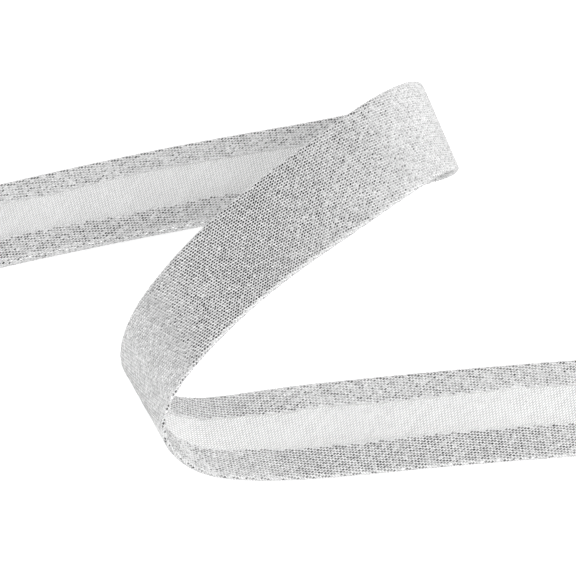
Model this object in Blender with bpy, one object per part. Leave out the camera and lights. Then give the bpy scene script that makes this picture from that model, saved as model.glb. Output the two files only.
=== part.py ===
# Cut length of single-fold bias tape in metallic cloth, lying in one loose loop.
# The tape comes in from the left with its wrong side up, curls up and over at the right,
# runs back face up to the left, curls down there and leaves to the right, wrong side up again.
# Metres, +Z up, resting on z = 0.

import bpy
import bmesh
import numpy as np
from mathutils import Vector

mm = 0.001

# The tape's cross-section; its finished width is in the route below
layer = 1.0 * mm              # thickness given to one layer of cloth
layer_gap = 0.4 * mm          # air between the tape and its turned-in hems
far_hem = 5.0 * mm            # cloth turned in at the far edge
near_hem = 6.2 * mm           # cloth turned in at the near edge
fold_radius = layer + layer_gap / 2
fold_steps = 4                # facets round each folded edge

# Spacing of the sections along the tape: close in the bends, wide on the flat legs
closest = 1.6 * mm
widest = 7.0 * mm
turn_per_section = 0.16       # radians of bend and twist between sections
samples_per_row = 60

# The route of the tape's middle, one row for each stretch of about 10 to 18 mm.
# x, y, z: a point that pulls the middle line towards it, in mm.
# heading: compass direction across the tape, from its near edge to its far edge, in degrees from +X.
# tilt: how far that direction rises above level, in degrees.
# width: finished width in mm, 20 but for the back leg, where the folded edges stand up a little.
columns = ("x", "y", "z", "heading", "tilt", "width")
left_leg = [
    (-86.0, 5.2, 0.0, 105.5, 0.0, 18.8),
    (-69.0, 10.0, 0.0, 105.0, 0.0, 18.8),
    (-52.0, 14.7, 0.0, 104.5, 0.0, 19.0),
    (-36.0, 18.9, 0.0, 104.0, 0.0, 19.3),
    (-21.0, 22.6, 0.0, 103.0, 0.0, 19.5),
    (-7.0, 25.5, 0.0, 102.5, 0.0, 19.7),
    (6.0, 28.0, 0.0, 102.0, 0.0, 20.0),
    (16.0, 30.5, 0.0, 102.0, 0.0, 20.0),
]
right_bend = [
    (24.5, 32.4, 0.4, 103.0, 1.0, 20.0),
    (31.0, 32.6, 6.0, 108.0, 5.0, 20.0),
    (29.6, 29.3, 14.8, 112.0, 9.0, 20.0),
    (23.2, 23.8, 18.5, 115.5, 10.0, 20.0),
]
over_leg = [
    (15.0, 16.7, 19.5, 120.0, 9.0, 20.0),
    (6.0, 8.8, 20.0, 126.0, 5.0, 20.0),
    (-3.0, 0.7, 21.0, 129.5, -1.0, 20.0),
    (-11.0, -7.6, 22.0, 130.0, -8.0, 20.0),
]
left_bend = [
    (-18.3, -16.4, 22.5, 128.0, -14.0, 20.0),
    (-25.0, -25.0, 21.0, 123.0, -19.5, 20.0),
    (-28.3, -31.6, 14.4, 116.0, -22.0, 20.0),
    (-23.0, -34.7, 7.0, 109.0, -21.0, 20.0),
    (-14.6, -35.0, 2.8, 102.5, -16.0, 20.0),
]
right_leg = [
    (-4.0, -32.8, 0.9, 98.5, -5.5, 20.0),
    (12.0, -30.6, 0.0, 95.5, 0.0, 20.0),
    (30.0, -28.6, 0.0, 95.0, 0.0, 20.0),
    (48.0, -27.1, 0.0, 94.5, 0.0, 20.0),
    (66.0, -25.6, 0.0, 94.0, 0.0, 20.0),
    (84.0, -24.3, 0.0, 94.0, 0.0, 20.0),
]

# Cloth
cloth_colour = (0.72, 0.72, 0.73, 1.0)
cloth_roughness = 0.45
cloth_metallic = 0.6


def clear_scene():
    for item in list(bpy.data.objects):
        bpy.data.objects.remove(item, do_unlink=True)


def smooth_rows(rows):
    """Uniform cubic B-spline through the rows: exactly flat where four rows in a row are flat."""
    rows = np.array(rows)
    spans = len(rows) - 3
    t = np.linspace(0.0, spans, spans * samples_per_row + 1)
    first = np.minimum(t.astype(int), spans - 1)
    u = (t - first)[:, None]
    weights = (
        (1 - u) ** 3 / 6,
        (3 * u**3 - 6 * u**2 + 4) / 6,
        (-3 * u**3 + 3 * u**2 + 3 * u + 1) / 6,
        u**3 / 6,
    )
    return sum(weight * rows[first + k] for k, weight in enumerate(weights))


def unit(vectors):
    return vectors / np.linalg.norm(vectors, axis=1)[:, None]


def tape_route(rows):
    """Middle line, direction across, inward normal, half width and cross bow along the tape."""
    line = dict(zip(columns, smooth_rows(rows).T))
    middle = np.stack([line["x"], line["y"], line["z"]], axis=1) * mm
    along = np.concatenate([[0.0], np.cumsum(np.linalg.norm(np.diff(middle, axis=0), axis=1))])
    forward = unit(np.gradient(middle, along, axis=0))
    heading, tilt = np.radians(line["heading"]), np.radians(line["tilt"])
    across = np.stack(
        [np.cos(heading) * np.cos(tilt), np.sin(heading) * np.cos(tilt), np.sin(tilt)], axis=1
    )
    across = unit(across - np.sum(across * forward, axis=1)[:, None] * forward)
    inward = np.cross(forward, across)
    bend = np.sum(np.gradient(forward, along, axis=0) * inward, axis=1)
    twist = np.sum(np.gradient(across, along, axis=0) * inward, axis=1)
    # a cloth strip that bends and twists at once bows across its width by twist squared over bend
    bow = twist**2 * bend / (bend**2 + (0.02 / mm) ** 2)
    return along, middle, across, inward, line["width"] * mm / 2, bend, twist, bow


def section_places(along, bend, twist):
    """Distances along the tape at which sections stand."""
    turning = np.abs(bend) + np.abs(twist)
    spacing = np.clip(turn_per_section / (turning + 1e-9), closest, widest)
    count = np.concatenate([[0.0], np.cumsum(np.diff(along) / spacing[1:])])
    total = int(np.ceil(count[-1]))
    return np.interp(np.linspace(0.0, count[-1], total + 1), count, along)


def cloth_side(half, radius):
    """One side of the folded cloth, from the far hem's raw edge round both folds to the near one's.

    radius is this side's distance from the middle of a fold: points across, and heights above the face.
    """
    turns = np.linspace(np.pi / 2, -np.pi / 2, fold_steps + 1)
    fold = [
        (half - fold_radius + radius * np.cos(turn), fold_radius + radius * np.sin(turn))
        for turn in turns
    ]
    far_edge = [(half - far_hem, fold_radius + radius)]
    base = [(across, fold_radius - radius) for across in (half / 2, 0.0, -half / 2)]
    near_fold = [(-across, height) for across, height in reversed(fold)]
    near_edge = [(near_hem - half, fold_radius + radius)]
    return far_edge + fold + base + near_fold + near_edge


def tape_outline(half):
    """Closed outline of the folded tape: down its outer side, then back along its inner side."""
    return np.array(cloth_side(half, fold_radius) + cloth_side(half, layer_gap / 2)[::-1])


def tape_sections(rows):
    """One ring of points for each section, carried along the route."""
    along, middle, across, inward, half, bend, twist, bow = tape_route(rows)
    rings = []
    for place in section_places(along, bend, twist):
        at = [
            np.array([np.interp(place, along, column) for column in values.T])
            for values in (middle, across, inward)
        ]
        half_here, bow_here = (np.interp(place, along, values) for values in (half, bow))
        outline = tape_outline(half_here)
        side, height = outline[:, :1], outline[:, 1:]
        face = at[0] + side * at[1] + 0.5 * bow_here * side**2 * at[2]
        face[:, 2] = np.maximum(face[:, 2], 0.0)  # the legs lie on the surface itself
        normal = unit(at[2] - bow_here * side * at[1])
        rings.append(face + height * normal)
    return rings


def cloth_material(name, colour, roughness, metallic):
    material = bpy.data.materials.new(name)
    material.use_nodes = True
    shader = material.node_tree.nodes["Principled BSDF"]
    shader.inputs["Base Color"].default_value = colour
    shader.inputs["Roughness"].default_value = roughness
    shader.inputs["Metallic"].default_value = metallic
    return material


def make_tape(name, rings, material):
    """Bridges the rings into one closed solid with a plain cut at each end."""
    mesh = bpy.data.meshes.new(name)
    solid = bmesh.new()
    loops = [[solid.verts.new(Vector(point)) for point in ring] for ring in rings]
    size = len(loops[0])
    for before, after in zip(loops, loops[1:]):
        for k in range(size):
            n = (k + 1) % size
            solid.faces.new((before[k], before[n], after[n], after[k]))
    for loop in (loops[0], loops[-1]):
        for k in range(size // 2 - 1):
            solid.faces.new((loop[k], loop[k + 1], loop[-k - 2], loop[-k - 1]))
    bmesh.ops.triangulate(solid, faces=solid.faces[:])
    bmesh.ops.recalc_face_normals(solid, faces=solid.faces[:])
    solid.to_mesh(mesh)
    solid.free()
    mesh.shade_smooth()
    mesh.set_sharp_from_angle(angle=np.radians(40))
    mesh.materials.append(material)
    tape = bpy.data.objects.new(name, mesh)
    bpy.context.scene.collection.objects.link(tape)
    return tape


def stand_on_origin(rings):
    """Moves the sections so that the origin is under the middle of the tape's own box."""
    points = np.concatenate(rings)
    low, high = points.min(axis=0), points.max(axis=0)
    base = np.array([(low[0] + high[0]) / 2, (low[1] + high[1]) / 2, low[2]])
    return [ring - base for ring in rings]


clear_scene()
metallic_cloth = cloth_material("metallic_cloth", cloth_colour, cloth_roughness, cloth_metallic)
route_rows = left_leg + right_bend + over_leg + left_bend + right_leg
make_tape("tape", stand_on_origin(tape_sections(route_rows)), metallic_cloth)
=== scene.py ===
# Cut length of single-fold bias tape in metallic cloth, lying in one loose loop.
# One thin folded sheet of woven cloth carries the small bright floats of its film yarn.
import bpy
import numpy as np
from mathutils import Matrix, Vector


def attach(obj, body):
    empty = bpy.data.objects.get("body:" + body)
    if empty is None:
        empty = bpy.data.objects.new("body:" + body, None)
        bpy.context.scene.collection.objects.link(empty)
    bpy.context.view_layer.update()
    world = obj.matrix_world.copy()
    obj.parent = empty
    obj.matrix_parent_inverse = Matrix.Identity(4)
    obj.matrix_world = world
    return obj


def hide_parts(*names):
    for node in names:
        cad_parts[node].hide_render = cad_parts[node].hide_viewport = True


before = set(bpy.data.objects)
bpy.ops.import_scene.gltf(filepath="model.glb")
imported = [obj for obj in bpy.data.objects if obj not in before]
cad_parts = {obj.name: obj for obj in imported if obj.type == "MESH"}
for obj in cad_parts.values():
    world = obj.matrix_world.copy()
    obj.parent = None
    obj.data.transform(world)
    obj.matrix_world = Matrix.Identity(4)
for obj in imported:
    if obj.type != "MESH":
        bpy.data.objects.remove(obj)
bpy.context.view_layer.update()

mm = 0.001

# The route of the tape's middle, as in the part: x, y, z in mm, the compass heading from the near edge
# to the far edge in degrees from +X, that direction's tilt above level in degrees, and the finished
# width in mm.
route = {
    "zero": (2.379, 0.827, 0.0),  # where the rows' zero lies in the frame, mm
    "leftLeg": [
        (-86.0, 5.2, 0.0, 105.5, 0.0, 18.8),
        (-69.0, 10.0, 0.0, 105.0, 0.0, 18.8),
        (-52.0, 14.7, 0.0, 104.5, 0.0, 19.0),
        (-36.0, 18.9, 0.0, 104.0, 0.0, 19.3),
        (-21.0, 22.6, 0.0, 103.0, 0.0, 19.5),
        (-7.0, 25.5, 0.0, 102.5, 0.0, 19.7),
        (6.0, 28.0, 0.0, 102.0, 0.0, 20.0),
        (16.0, 30.5, 0.0, 102.0, 0.0, 20.0),
    ],
    "rightBend": [
        (24.5, 32.4, 0.4, 103.0, 1.0, 20.0),
        (31.0, 32.6, 6.0, 108.0, 5.0, 20.0),
        (29.6, 29.3, 14.8, 112.0, 9.0, 20.0),
        (23.2, 23.8, 18.5, 115.5, 10.0, 20.0),
    ],
    "overLeg": [
        (15.0, 16.7, 19.5, 120.0, 9.0, 20.0),
        (6.0, 8.8, 20.0, 126.0, 5.0, 20.0),
        (-3.0, 0.7, 21.0, 129.5, -1.0, 20.0),
        (-11.0, -7.6, 22.0, 130.0, -8.0, 20.0),
    ],
    "leftBend": [
        (-18.3, -16.4, 22.5, 128.0, -14.0, 20.0),
        (-25.0, -25.0, 21.0, 123.0, -19.5, 20.0),
        (-28.3, -31.6, 14.4, 116.0, -22.0, 20.0),
        (-23.0, -34.7, 7.0, 109.0, -21.0, 20.0),
        (-14.6, -35.0, 2.8, 102.5, -16.0, 20.0),
    ],
    "rightLeg": [
        (-4.0, -32.8, 0.9, 98.5, -5.5, 20.0),
        (12.0, -30.6, 0.0, 95.5, 0.0, 20.0),
        (30.0, -28.6, 0.0, 95.0, 0.0, 20.0),
        (48.0, -27.1, 0.0, 94.5, 0.0, 20.0),
        (66.0, -25.6, 0.0, 94.0, 0.0, 20.0),
        (84.0, -24.3, 0.0, 94.0, 0.0, 20.0),
    ],
    "samplesPerRow": 60,
    "leastBend": 0.02,  # per mm; where the tape bends less than this, it hardly bows across
}


def unit(vectors):
    return vectors / np.linalg.norm(vectors, axis=-1, keepdims=True)


def tapeLine():
    # uniform cubic B-spline through the rows, with the directions that carry the cross-section along it
    names = ("leftLeg", "rightBend", "overLeg", "leftBend", "rightLeg")
    rows = np.array([row for name in names for row in route[name]])
    spans = len(rows) - 3
    t = np.linspace(0.0, spans, spans * route["samplesPerRow"] + 1)
    first = np.minimum(t.astype(int), spans - 1)
    u = (t - first)[:, None]
    weights = (
        (1 - u) ** 3 / 6,
        (3 * u**3 - 6 * u**2 + 4) / 6,
        (-3 * u**3 + 3 * u**2 + 3 * u + 1) / 6,
        u**3 / 6,
    )
    smooth = sum(weight * rows[first + k] for k, weight in enumerate(weights))
    middle = smooth[:, :3] + route["zero"]
    along = np.concatenate([[0.0], np.cumsum(np.linalg.norm(np.diff(middle, axis=0), axis=1))])
    forward = unit(np.gradient(middle, along, axis=0))
    heading, tilt = np.radians(smooth[:, 3]), np.radians(smooth[:, 4])
    across = np.stack(
        [np.cos(heading) * np.cos(tilt), np.sin(heading) * np.cos(tilt), np.sin(tilt)], axis=1
    )
    across = unit(across - np.sum(across * forward, axis=1)[:, None] * forward)
    inward = np.cross(forward, across)
    # a strip that bends and twists at once bows across, by its twist squared over its bend
    bend = np.sum(np.gradient(forward, along, axis=0) * inward, axis=1)
    twist = np.sum(np.gradient(across, along, axis=0) * inward, axis=1)
    bow = twist**2 * bend / (bend**2 + route["leastBend"] ** 2)
    return {
        "along": along,
        "middle": middle,
        "across": across,
        "inward": inward,
        "half": smooth[:, 5] / 2,
        "bow": bow,
    }


line = tapeLine()
tapeLength = line["along"][-1]
print(f"route: {tapeLength:.1f} mm of tape")


def lineAt(name, u):
    values = line[name]
    if values.ndim == 1:
        return np.interp(u, line["along"], values)
    return np.stack([np.interp(u, line["along"], column) for column in values.T], axis=-1)


def linear(hexColour):
    # an sRGB hex value as linear red, green, blue and alpha
    values = np.array([int(hexColour[k : k + 2], 16) / 255 for k in (1, 3, 5)])
    values = np.where(values <= 0.04045, values / 12.92, ((values + 0.055) / 1.055) ** 2.4)
    return (*values, 1.0)


def addNode(tree, kind, settings=None, links=None):
    # settings are the node's own options, or values for its inputs;
    # links bring other nodes' outputs to its inputs
    node = tree.nodes.new(kind)
    for key, value in (settings or {}).items():
        if isinstance(key, str) and hasattr(node, key):
            setattr(node, key, value)
        else:
            node.inputs[key].default_value = value
    for key, output in (links or {}).items():
        tree.links.new(output, node.inputs[key])
    return node


def newMaterial(name):
    material = bpy.data.materials.new(name)
    material.use_nodes = True
    tree = material.node_tree
    return material, tree, tree.nodes["Principled BSDF"]


def meshPiece(name, points, faces, materials, slots=None, uv=None):
    # points in mm and faces of four corners each, as arrays; uv is a value for each point
    mesh = bpy.data.meshes.new(name)
    mesh.from_pydata(points.reshape(-1, 3) * mm, [], faces)
    for material in materials:
        mesh.materials.append(material)
    if slots is not None:
        mesh.polygons.foreach_set("material_index", slots.astype(np.int32))
    if uv is not None:
        layer = mesh.uv_layers.new(name="threads")
        layer.uv.foreach_set("vector", uv.reshape(-1, 2)[faces.ravel()].astype(np.float32).ravel())
    piece = bpy.data.objects.new(name, mesh)
    bpy.context.scene.collection.objects.link(piece)
    return piece


cloth = {
    "thickness": 0.28,  # mm
    # mm along the tape, then for the far and for the near edge: how round the fold is (radius in mm),
    # how far its hem stands open (degrees; a hem below zero leans down, at most until its raw edge lies
    # on the tape), and how far the raw edge is from the middle of the tape, along the cloth (mm)
    "hems": [
        (0.0, 0.56, -28.0, 14.3, 1.10, 9.5, 15.4),
        (50.0, 0.56, -28.0, 14.3, 0.85, 9.0, 15.5),
        (72.0, 0.56, -28.0, 15.2, 0.80, 8.5, 16.0),
        (98.0, 0.55, -28.0, 15.4, 0.65, 7.0, 16.1),
        (125.0, 0.55, -6.0, 15.3, 0.36, 0.0, 16.4),
        (165.0, 0.50, -4.0, 15.3, 0.32, 2.0, 16.5),
        (205.0, 0.55, -20.0, 15.3, 0.32, 6.5, 16.4),
        (235.0, 0.55, -20.0, 15.3, 0.32, 5.0, 16.4),
        (265.0, 0.50, -20.0, 15.3, 0.32, 3.5, 16.5),
        (300.0, 0.50, -20.0, 15.3, 0.32, 3.0, 16.5),
    ],
    # small waves along the edges: how far each goes either way, the mm between its ups and downs, and
    # how many mm further on the far edge reads it, so that the two edges differ
    "openWaver": (1.8, 20.0, 700),  # degrees that the hems stand open
    "cutWaver": (0.22, 9.0, 300),  # mm of the raw edges
    "edgeWaver": (0.10, 26.0, 500),  # mm of the folded edges
    "ripple": (0.10, 16.0),  # mm that the whole tape rises and falls, and between its ups and downs
    "rippleSlant": 0.6,  # mm along for each mm across
    "clearance": 0.15,  # room under the cloth for the film floats, mm
    # mm between yarns, and their degrees from the tape's length, positive towards the far edge:
    # a bias cut, a little skewed
    "filmPitch": 0.433,
    "filmAngle": -35.5,
    "whitePitch": 0.357,
    "whiteAngle": 45.6,
    "alongSteps": 520,
    "flatSteps": 9,  # for each half of the width
    "foldSteps": 10,
    "hemSteps": 7,
    "seed": 11,
}


def waver(places, amount, spacing, seed):
    # a smooth random line: random heights every spacing mm, joined by smoothsteps
    heights = np.random.default_rng(seed).uniform(-1.0, 1.0, 400)  # more than any wave reads
    at = places / spacing + 3.0  # the first few lie before the tape's start
    before = np.floor(at).astype(int)
    part = at - before
    part = part * part * (3 - 2 * part)
    return amount * (heights[before] * (1 - part) + heights[before + 1] * part)


def edgeWave(name, u, far, seed):
    amount, spacing, further = cloth[name]
    return waver(u + further * far, amount, spacing, seed)


def foldShape(u, side):
    # for the far (+1) or the near (-1) side, u mm along the tape: where the flat ends, the fold's radius
    # and turn, and where the cloth is cut
    far = side > 0
    place, *columns = np.array(cloth["hems"]).T
    columns = [np.interp(u, place, column) for column in columns]
    radius, openBy, cut = (np.where(far, columns[k], columns[k + 3]) for k in range(3))
    openBy = openBy + edgeWave("openWaver", u, far, cloth["seed"] + 1)
    half = lineAt("half", u) + edgeWave("edgeWaver", u, far, cloth["seed"])
    flat = half - radius - cloth["thickness"] / 2 - film["rise"]
    cut = cut + edgeWave("cutWaver", u, far, cloth["seed"] + 2)
    # the lean at which a hem's raw edge lies on the tape:
    # its sine is the fold's height over the hem's length
    lean = 0.0
    for _ in range(4):
        drop = radius * (1 + np.cos(lean)) - cloth["thickness"]
        lean = np.arcsin(drop / (cut - flat - radius * (np.pi + lean)))
    return flat, radius, np.pi - np.maximum(np.radians(openBy), -lean), cut


def onCloth(u, v, lift):
    # The folded sheet at u mm along the tape and v mm across the cloth from its middle, far side
    # positive, lifted by so many mm out of its silver face. Across, it is flat, then turns through nearly
    # half a circle, then runs straight back as the hem; all of it bows with the strip and rests on the
    # floor.
    side = np.where(v >= 0, 1.0, -1.0)
    flat, radius, turn, cut = foldShape(u, side)
    past = np.maximum(np.abs(v) - flat, 0.0)
    angle = np.minimum(past / radius, turn)
    hem = np.maximum(past - radius * turn, 0.0)
    out = side * (np.minimum(np.abs(v), flat) + radius * np.sin(angle) + hem * np.cos(angle))
    up = cloth["thickness"] / 2 + radius * (1 - np.cos(angle)) + hem * np.sin(angle)
    amount, spacing = cloth["ripple"]
    slanted = u + cloth["rippleSlant"] * out
    up = up + amount * 0.5 + waver(slanted, amount * 0.5, spacing, cloth["seed"] + 3)
    out, up, angle, side = (values[..., None] for values in (out, up, angle, side))
    middle, across, inward = (lineAt(name, u) for name in ("middle", "across", "inward"))
    bow = lineAt("bow", u)[..., None]
    face = middle + out * across + 0.5 * bow * out**2 * inward
    face[..., 2] = np.maximum(face[..., 2], cloth["clearance"])
    above = unit(inward - bow * out * across)
    beside = unit(across + bow * out * inward)
    outwards = side * np.sin(angle) * beside - np.cos(angle) * above
    return face + up * above + np.asarray(lift)[..., None] * outwards


def yarnsPerMm(pitch, angle):
    # yarns to the mm along and across the tape, for yarns that run at that angle to its length
    return np.array([-np.sin(np.radians(angle)), np.cos(np.radians(angle)), 0.0]) / pitch


filmCount = yarnsPerMm(cloth["filmPitch"], cloth["filmAngle"])
whiteCount = yarnsPerMm(cloth["whitePitch"], cloth["whiteAngle"])

# Yarn colour and the painted shade of the valleys between the yarns, and how much each part of the weave
# shows, as shares of the step from the shaded valleys to yarn: lines are painted light and shade on the
# white yarns' round backs, lighter on their crests; checks are painted light on the crossings where white
# lies on top and painted shade on the crossings between; cells, yarns and clouds are the differences from
# crossing to crossing, from yarn to yarn and from patch to patch. The slopes are how steep the backs of
# the white and of the film yarns are.
wovenFace = {
    "yarn": "#f4f4f4",
    # painted shade in the valleys between the yarns
    "valleyShade": "#b4b4b5",
    "lines": 0.35,
    "checks": 0.5,
    "cells": 0.3,
    "yarns": 0.2,
    "clouds": 0.3,
    "whiteSlope": 0.35,
    "filmSlope": 0.15,
    "roughness": 0.5,
}
wovenBack = {
    "yarn": "#ffffff",
    # painted shade in the valleys between the yarns
    "valleyShade": "#bcbcbc",
    "lines": 1.0,
    "checks": 1.1,
    "cells": 0.2,
    "yarns": 0.12,
    "clouds": 0.3,
    "whiteSlope": 0.4,
    "filmSlope": 0.12,
    "roughness": 0.6,
}
# The raw edges: the same yarns in lighter, evener colours than the face and back, painted light that
# lifts the shade on the cut edges
litWovenCut = {
    "yarn": "#f8f8f7",
    # painted shade in the valleys, lighter than on the back
    "valleyShade": "#d4d4d4",
    "lines": 0.5,
    "checks": 0.3,
    "cells": 0.5,
    "yarns": 0.3,
    "clouds": 0.3,
    "whiteSlope": 0.2,
    "filmSlope": 0.2,
    "roughness": 0.6,
}
# The same on all three
weave = {
    "tone": 0.6,  # of the cloth as a whole, from the valleys' painted shade to yarn
    "cloudScale": 0.15,  # per mm, so patches of about 7 mm
    "cloudDetail": 2.0,
    "crossingLean": 0.15,  # steepest lean of a single crossing
}


def wovenMaterial(name, look):
    # White texturised polyester in a close plain weave cut on the bias: rounded yarns at about 45 degrees
    # to the edge, so fine slanting lines, with painted shade in the valleys between the yarns and painted
    # light on their round backs, each yarn and each crossing a little lighter or darker than the next.
    material, tree, shader = newMaterial(name)
    place = addNode(tree, "ShaderNodeUVMap", {"uv_map": "threads"}).outputs[0]
    counts = []
    for count in (filmCount, whiteCount):
        settings = {"operation": "DOT_PRODUCT", 1: count}
        counts.append(addNode(tree, "ShaderNodeVectorMath", settings, {0: place}).outputs["Value"])

    # the crossing that a place belongs to, and what sets it, its yarn and its patch apart
    both = addNode(tree, "ShaderNodeCombineXYZ", None, {0: counts[0], 1: counts[1]}).outputs[0]
    settings = {"operation": "ADD", 1: (0.5, 0.5, 0)}
    site = addNode(tree, "ShaderNodeVectorMath", settings, {0: both}).outputs[0]
    site = addNode(tree, "ShaderNodeVectorMath", {"operation": "FLOOR"}, {0: site}).outputs[0]
    cell = addNode(tree, "ShaderNodeTexWhiteNoise", {"noise_dimensions": "2D"}, {"Vector": site})
    whiteYarn = addNode(tree, "ShaderNodeSeparateXYZ", None, {0: site}).outputs[1]
    yarn = addNode(tree, "ShaderNodeTexWhiteNoise", {"noise_dimensions": "1D"}, {"W": whiteYarn})
    settings = {"Scale": weave["cloudScale"], "Detail": weave["cloudDetail"]}
    cloud = addNode(tree, "ShaderNodeTexNoise", settings, {"Vector": place})

    # sines and cosines of the yarns' phases: whole turns for each yarn's round back,
    # half turns for over and under
    waves = {}
    for kind, count in zip(("film", "white"), counts):
        for turn, operation in ((2, "SINE"), (2, "COSINE"), (1, "COSINE")):
            settings = {"operation": "MULTIPLY", 1: turn * np.pi}
            phase = addNode(tree, "ShaderNodeMath", settings, {0: count})
            wave = addNode(tree, "ShaderNodeMath", {"operation": operation}, {0: phase.outputs[0]})
            waves[kind, turn, operation] = wave.outputs[0]
    overUnder = addNode(
        tree,
        "ShaderNodeMath",
        {"operation": "MULTIPLY"},
        {0: waves["film", 1, "COSINE"], 1: waves["white", 1, "COSINE"]},
    ).outputs[0]

    # tone: near 1 on the crest of a white yarn where it lies on top, near 0 in the valleys;
    # the crests are painted light, the valleys painted shade
    tone = None
    for share, wave, middle in (
        (look["cells"], cell.outputs["Value"], 0.5),
        (look["yarns"], yarn.outputs["Value"], 0.5),
        (look["clouds"], cloud.outputs[0], 0.5),
        # painted light and shade: the yarns' crests, and the crossings where white lies on top, lighter
        (look["lines"] / 2, waves["white", 2, "COSINE"], 0.0),
        (-look["checks"] / 2, overUnder, 0.0),
    ):
        settings = {"operation": "SUBTRACT", 1: middle}
        centred = addNode(tree, "ShaderNodeMath", settings, {0: wave}).outputs[0]
        settings = {"operation": "MULTIPLY_ADD", 1: share, 2: weave["tone"]}
        links = {0: centred} if tone is None else {0: centred, 2: tone}
        tone = addNode(tree, "ShaderNodeMath", settings, links).outputs[0]
    # the colour: painted shade in the valleys and painted light on the yarns' backs, over the yarns' own
    # random tone
    colour = addNode(
        tree,
        "ShaderNodeMix",
        {"data_type": "RGBA", 6: linear(look["valleyShade"]), 7: linear(look["yarn"])},
        {0: tone},
    )

    # slopes of the yarns' backs, and a small lean of its own for each crossing
    most = weave["crossingLean"]
    slope = addNode(
        tree,
        "ShaderNodeVectorMath",
        {"operation": "MULTIPLY_ADD", 1: (2 * most, 2 * most, 0), 2: (-most, -most, 0)},
        {0: cell.outputs["Color"]},
    ).outputs[0]
    for kind, count, steepness in (
        ("white", whiteCount, look["whiteSlope"]),
        ("film", filmCount, look["filmSlope"]),
    ):
        settings = {"operation": "SCALE", 0: count / np.linalg.norm(count) * steepness}
        lean = addNode(tree, "ShaderNodeVectorMath", settings, {"Scale": waves[kind, 2, "SINE"]})
        links = {0: slope, 1: lean.outputs[0]}
        slope = addNode(tree, "ShaderNodeVectorMath", {"operation": "ADD"}, links).outputs[0]
    packed = addNode(
        tree,
        "ShaderNodeVectorMath",
        {"operation": "MULTIPLY_ADD", 1: (0.5, 0.5, 0.5), 2: (0.5, 0.5, 1.0)},
        {0: slope},
    )
    normal = addNode(tree, "ShaderNodeNormalMap", {"uv_map": "threads"}, {"Color": packed.outputs[0]})
    tree.links.new(colour.outputs[2], shader.inputs["Base Color"])
    tree.links.new(normal.outputs[0], shader.inputs["Normal"])
    shader.inputs["Roughness"].default_value = look["roughness"]
    return material


def gridFaces(rows, columns, start=0):
    # the quads of a grid of rows by columns points, wound from the first column to the next
    corner = start + np.arange(rows - 1)[:, None] * columns + np.arange(columns - 1)
    corners = [corner, corner + 1, corner + columns + 1, corner + columns]
    return np.stack(corners, axis=-1).reshape(-1, 4)


def clothSheet():
    # grid of the cloth's two sides, closed at the raw edges and the cut ends
    u = np.linspace(0.0, tapeLength, cloth["alongSteps"] + 1)[:, None]
    halves = []
    for side in (-1.0, 1.0):
        flat, radius, turn, cut = foldShape(u, side)
        foldEnd = flat + radius * turn
        parts = [
            flat * np.linspace(0.0, 1.0, cloth["flatSteps"] + 1),
            flat + (foldEnd - flat) * np.linspace(0.0, 1.0, cloth["foldSteps"] + 1)[1:],
            foldEnd + (cut - foldEnd) * np.linspace(0.0, 1.0, cloth["hemSteps"] + 1)[1:],
        ]
        halves.append(side * np.concatenate(parts, axis=1))
    v = np.concatenate([halves[0][:, :0:-1], halves[1]], axis=1)  # near raw edge to far raw edge
    u = np.broadcast_to(u, v.shape)
    lifts = (cloth["thickness"] / 2, -cloth["thickness"] / 2)
    sides = [onCloth(u, v, np.full(v.shape, lift)) for lift in lifts]
    rows, columns = v.shape
    count = rows * columns
    index = np.arange(count).reshape(rows, columns)
    face = gridFaces(rows, columns)
    back = gridFaces(rows, columns, count)[:, ::-1]
    rims = []
    for edge, flip in (
        (index[:, 0], False),
        (index[:, -1], True),
        (index[0], True),
        (index[-1], False),
    ):
        rim = np.stack([edge[:-1], edge[1:], edge[1:] + count, edge[:-1] + count], axis=-1)
        rims.append(rim[:, ::-1] if flip else rim)
    rims = np.concatenate(rims)
    faces = np.concatenate([face, back, rims])
    slots = np.repeat([0, 1, 2], [len(face), len(back), len(rims)])
    uv = np.tile(np.stack([u, v], axis=-1).reshape(-1, 2), (2, 1))
    materials = [
        wovenMaterial("wovenPolyesterFace", wovenFace),
        wovenMaterial("wovenPolyesterBack", wovenBack),
        wovenMaterial("wovenPolyesterCut", litWovenCut),
    ]
    piece = meshPiece("tape_cloth", np.stack(sides), faces, materials, slots, uv)
    piece.data.shade_smooth()
    piece.data.set_sharp_from_angle(angle=np.radians(50))
    return piece


# Film yarn: flat floats where it passes over a white yarn, at every second crossing. Sizes are in mm.
film = {
    "rise": 0.06,  # above the cloth
    "tuck": -0.03,  # its ends go under the cloth's surface
    "length": 0.52,
    "width": 0.265,
    "skew": 0.5,  # how far its ends slant
    "flatShare": 0.75,  # of its length lies level
    "sizeSpread": 0.16,  # share by which lengths and widths differ
    "roll": 3.6,  # degrees, how unevenly the floats lie
    "pitchTilt": 3.2,
    "yarnRoll": (1.6, 2.5),  # degrees, and mm between the turns of a yarn about itself
    "yarnShift": 37.0,  # how much further on each yarn reads those turns than the one before it
    "yarnsInStep": 8,  # after so many yarns the turns come back
    "slip": 0.05,  # off their places
    "reach": 18.0,  # from the tape's middle, past both raw edges
    "edgeGap": 0.2,  # kept free of floats at the raw edges
    "endGap": 0.3,  # and at the cut ends
    # each float's colour lies at random between these two: painted reflection, the darker floats
    # standing in for film that mirrors dim surroundings
    "colour": "#dcdcdc",
    "darkReflectionColour": "#b0b0b0",
    "roughness": 0.08,
    "seed": 23,
    # the pieces, and the shares of the tape's length between which each one lies
    "pieces": {
        "film_left_leg": (0.0, 0.36),
        "film_crossing": (0.36, 0.68),
        "film_right_leg": (0.68, 1.0),
    },
}


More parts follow.
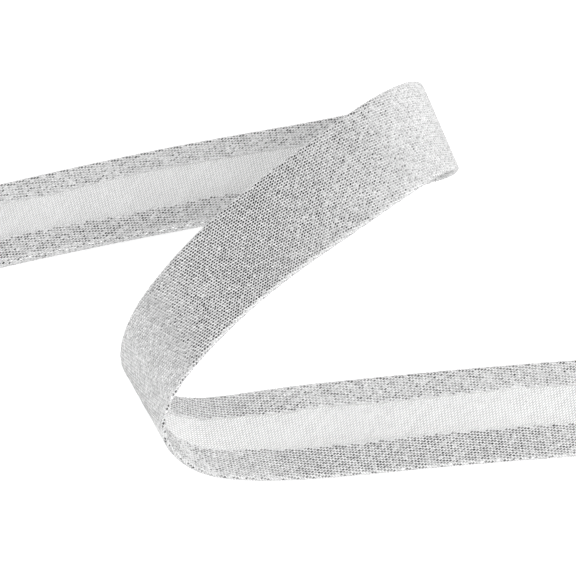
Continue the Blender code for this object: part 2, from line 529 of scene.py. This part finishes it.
def filmMaterial(name):
    # Aluminised polyester film slit into flat yarn: a mirror under clear lacquer, light grey, nearly
    # smooth, so each float is either bright or dark with what it faces. On top of that each float's
    # colour is darker or lighter at random, a painted reflection.
    material, tree, shader = newMaterial(name)
    tone = addNode(tree, "ShaderNodeAttribute", {"attribute_name": "tone"})
    colour = addNode(
        tree,
        "ShaderNodeMix",
        {"data_type": "RGBA", 6: linear(film["darkReflectionColour"]), 7: linear(film["colour"])},
        {0: tone.outputs["Fac"]},
    )
    tree.links.new(colour.outputs[2], shader.inputs["Base Color"])
    shader.inputs["Metallic"].default_value = 1.0
    shader.inputs["Roughness"].default_value = film["roughness"]
    return material


def filmFloats(name, fromU, toU, material):
    # one flat-topped bridge of film at every second crossing of the threads: where the numbers of the
    # film yarn and the white yarn add up to an even number, the film is on top
    counts = np.stack([filmCount[:2], whiteCount[:2]])
    reach, edgeGap, endGap = film["reach"], film["edgeGap"], film["endGap"]
    ends = np.array([(u, v) for u in (fromU, toU) for v in (-reach, reach)]) @ counts.T
    first, last = np.floor(ends.min(axis=0)), np.ceil(ends.max(axis=0))
    filmYarns, whiteYarns = np.meshgrid(np.arange(first[0], last[0]), np.arange(first[1], last[1]))
    numbers = np.stack([filmYarns.ravel(), whiteYarns.ravel()])
    numbers = numbers[:, numbers.sum(axis=0) % 2 == 0]
    u, v = np.linalg.solve(counts, numbers)
    inside = (u >= fromU) & (u < toU) & (np.abs(v) < reach)
    u, v, filmYarn = u[inside], v[inside], numbers[0][inside]
    rng = np.random.default_rng(film["seed"])
    u, v = (places + rng.uniform(-1, 1, places.size) * film["slip"] for places in (u, v))
    cut = foldShape(u, np.where(v >= 0, 1.0, -1.0))[3]
    kept = (np.abs(v) < cut - edgeGap) & (u > endGap) & (u < tapeLength - endGap)
    u, v, filmYarn = (values[kept][:, None, None] for values in (u, v, filmYarn))
    count = u.size

    # four stations along each float, with two sides at each: its ends are tucked in, its top is level
    long, wide = 1 + film["sizeSpread"] * rng.uniform(-1, 1, (2, count, 1, 1))
    stations = np.array([-1.0, -film["flatShare"], film["flatShare"], 1.0])[None, :, None]
    stations = stations * film["length"] / 2 * long
    sides = np.array([-1.0, 1.0])[None, None, :] * film["width"] / 2 * wide
    # each float leans in its own way, and each film yarn turns slowly to and fro about itself
    roll, tilt = (rng.normal(0, film[key], (count, 1, 1)) for key in ("roll", "pitchTilt"))
    yarnTurn, spacing = film["yarnRoll"]
    turnedAt = u + film["yarnShift"] * (filmYarn % film["yarnsInStep"])
    roll = roll + waver(turnedAt, yarnTurn, spacing, film["seed"])
    roll, tilt = np.tan(np.radians(roll)), np.tan(np.radians(tilt))
    raised = np.array([film["tuck"], film["rise"], film["rise"], film["tuck"]])[None, :, None]
    lift = cloth["thickness"] / 2 + raised + roll * sides + tilt * stations
    run = np.radians(cloth["filmAngle"])
    stations = stations + film["skew"] * sides
    uAt = u + stations * np.cos(run) - sides * np.sin(run)
    vAt = v + stations * np.sin(run) + sides * np.cos(run)
    points = onCloth(uAt, vAt, lift)
    corners = np.array(
        [(0, 1, 3, 2), (2, 3, 5, 4), (4, 5, 7, 6), (0, 6, 7, 1), (0, 2, 4, 6), (1, 7, 5, 3)]
    )
    faces = (np.arange(count)[:, None, None] * 8 + corners).reshape(-1, 4)
    piece = meshPiece(name, points, faces, [material])
    # a random darkness for each float: painted reflection
    tone = piece.data.attributes.new("tone", "FLOAT", "POINT")
    tone.data.foreach_set("value", np.repeat(rng.random(count), 8).astype(np.float32))
    return piece


sheet = clothSheet()
print(f"cloth: {len(sheet.data.polygons)} faces")
filmYarn = filmMaterial("aluminisedFilmYarn")
floats = []
for name, (start, end) in film["pieces"].items():
    floats.append(filmFloats(name, start * tapeLength, end * tapeLength, filmYarn))
    print(f"{name}: {len(floats[-1].data.polygons) // 6} floats")

for piece in [sheet, *floats]:
    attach(piece, "root")
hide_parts("tape")


# Sizes and places are in mm, and directions point away from the tape
studio = {
    "sky": 1.42,
    "softbox": 0.42,  # watts
    "softboxPlace": (250.0, -110.0, 250.0),  # near enough that the left and the back get less of it
    "softboxSize": 200.0,
    "lamp": 2.4,  # a small lamp in front, to the right
    "lampSide": (0.35, -0.80, 0.48),
    "lampRadius": 11.0,  # degrees
    "lampFade": 0.3,  # share of the radius over which its edge fades, inwards and outwards
    "front": 0.15,  # brightness of the dim room behind the camera, low in front
    "frontSide": (0.25, -0.94, 0.22),
    "frontRadius": (28.0, 58.0),  # degrees from its middle to where it starts and ends to brighten
    "gap": 0.01,  # brightness of the dim strip overhead, between the soft lights
    "gapLean": 41.0,  # degrees from straight up towards the back
    "gapTurn": -7.0,  # and to the right
    # degrees from its middle, each way, where it starts and ends to brighten
    "gapRight": (4.0, 50.0),
    "gapLeft": (8.0, 57.0),
    "gapBack": (13.0, 37.0),
    "gapFront": (5.0, 66.0),
    "floorReach": 4000.0,
    "floorLevel": -0.1,  # just under the tape
    "floorColour": "#c8c8c8",
    "floorGlow": 0.62,  # a white light table, lit partly from below
}


def makeFloor():
    # Matt white paper on a light table: even, with hardly any shine
    reach, level = studio["floorReach"], studio["floorLevel"]
    corners = [(-reach, -reach), (reach, -reach), (reach, reach), (-reach, reach)]
    points = np.array([(x, y, level) for x, y in corners])
    floor = meshPiece("floor", points, np.array([(0, 1, 2, 3)]), [])
    material, tree, shader = newMaterial("mattWhitePaper")
    shader.inputs["Base Color"].default_value = linear(studio["floorColour"])
    shader.inputs["Roughness"].default_value = 0.8
    shader.inputs["Specular IOR Level"].default_value = 0.2
    shader.inputs["Emission Color"].default_value = (1, 1, 1, 1)
    shader.inputs["Emission Strength"].default_value = studio["floorGlow"]
    floor.data.materials.append(material)


def makeSky():
    # even white light from all round, with a dim strip overhead and a dim patch low in front
    world = bpy.data.worlds.new("studio")
    bpy.context.scene.world = world
    world.use_nodes = True
    tree = world.node_tree
    background = tree.nodes["Background"]
    towards = addNode(tree, "ShaderNodeTexCoord").outputs["Generated"]

    settings = {"operation": "DOT_PRODUCT", 1: Vector(studio["frontSide"]).normalized()}
    front = addNode(tree, "ShaderNodeVectorMath", settings, {0: towards}).outputs["Value"]
    inner, outer = np.cos(np.radians(studio["frontRadius"]))
    around = addNode(
        tree,
        "ShaderNodeMapRange",
        {"interpolation_type": "SMOOTHSTEP", 1: outer, 2: inner, 3: studio["sky"], 4: studio["front"]},
        {0: front},
    )

    # how far out of the strip a direction is, 0 to 1: to a side, to the back or to the front,
    # whichever is most
    lean, turn = np.radians((studio["gapLean"], studio["gapTurn"]))
    shares = []
    for axis, fade in (
        ((np.cos(turn), 0.0, -np.sin(turn)), studio["gapRight"]),
        ((-np.cos(turn), 0.0, np.sin(turn)), studio["gapLeft"]),
        ((0.0, np.cos(lean), -np.sin(lean)), studio["gapBack"]),
        ((0.0, -np.cos(lean), np.sin(lean)), studio["gapFront"]),
    ):
        settings = {"operation": "DOT_PRODUCT", 1: axis}
        sine = addNode(tree, "ShaderNodeVectorMath", settings, {0: towards}).outputs["Value"]
        starts, ends = np.sin(np.radians(fade))
        settings = {"interpolation_type": "SMOOTHSTEP", 1: starts, 2: ends}
        shares.append(addNode(tree, "ShaderNodeMapRange", settings, {0: sine}).outputs[0])
    outside = shares[0]
    for share in shares[1:]:
        links = {0: outside, 1: share}
        outside = addNode(tree, "ShaderNodeMath", {"operation": "MAXIMUM"}, links).outputs[0]
    links = {0: outside, 4: around.outputs[0]}
    level = addNode(tree, "ShaderNodeMapRange", {3: studio["gap"]}, links)

    settings = {"operation": "DOT_PRODUCT", 1: Vector(studio["lampSide"]).normalized()}
    near = addNode(tree, "ShaderNodeVectorMath", settings, {0: towards}).outputs["Value"]
    lamp = addNode(
        tree,
        "ShaderNodeMapRange",
        {
            "interpolation_type": "SMOOTHSTEP",
            1: np.cos(np.radians(studio["lampRadius"] * (1 + studio["lampFade"]))),
            2: np.cos(np.radians(studio["lampRadius"] * (1 - studio["lampFade"]))),
            4: studio["lamp"],
        },
        {0: near, 3: level.outputs[0]},
    )
    tree.links.new(lamp.outputs[0], background.inputs["Strength"])
    background.inputs["Color"].default_value = (1, 1, 1, 1)


def makeSoftbox():
    data = bpy.data.lights.new("softbox", "AREA")
    data.energy, data.size = studio["softbox"], studio["softboxSize"] * mm
    softbox = bpy.data.objects.new("softbox", data)
    bpy.context.scene.collection.objects.link(softbox)
    place = Vector(studio["softboxPlace"])
    softbox.location = place * mm
    softbox.rotation_euler = place.to_track_quat("Z", "Y").to_euler()
    softbox.visible_glossy = False  # the sky stands for what the film mirrors


view = {
    "lens": 154.0,  # mm
    "elevation": 60.0,  # degrees above the floor
    "distance": 478.0,  # mm from the middle of the loop
}


def makeCamera():
    data = bpy.data.cameras.new("camera")
    data.lens = view["lens"]
    data.clip_start = 0.01
    camera = bpy.data.objects.new("camera", data)
    bpy.context.scene.collection.objects.link(camera)
    elevation = np.radians(view["elevation"])
    away = Vector((0, -np.cos(elevation), np.sin(elevation)))
    camera.location = (Vector(route["zero"]) + away * view["distance"]) * mm
    camera.rotation_euler = (np.pi / 2 - elevation, 0, 0)
    bpy.context.scene.camera = camera


makeFloor()
makeSky()
makeSoftbox()
makeCamera()
bpy.context.scene.view_settings.view_transform = "Standard"
print("studio: floor, light and camera")
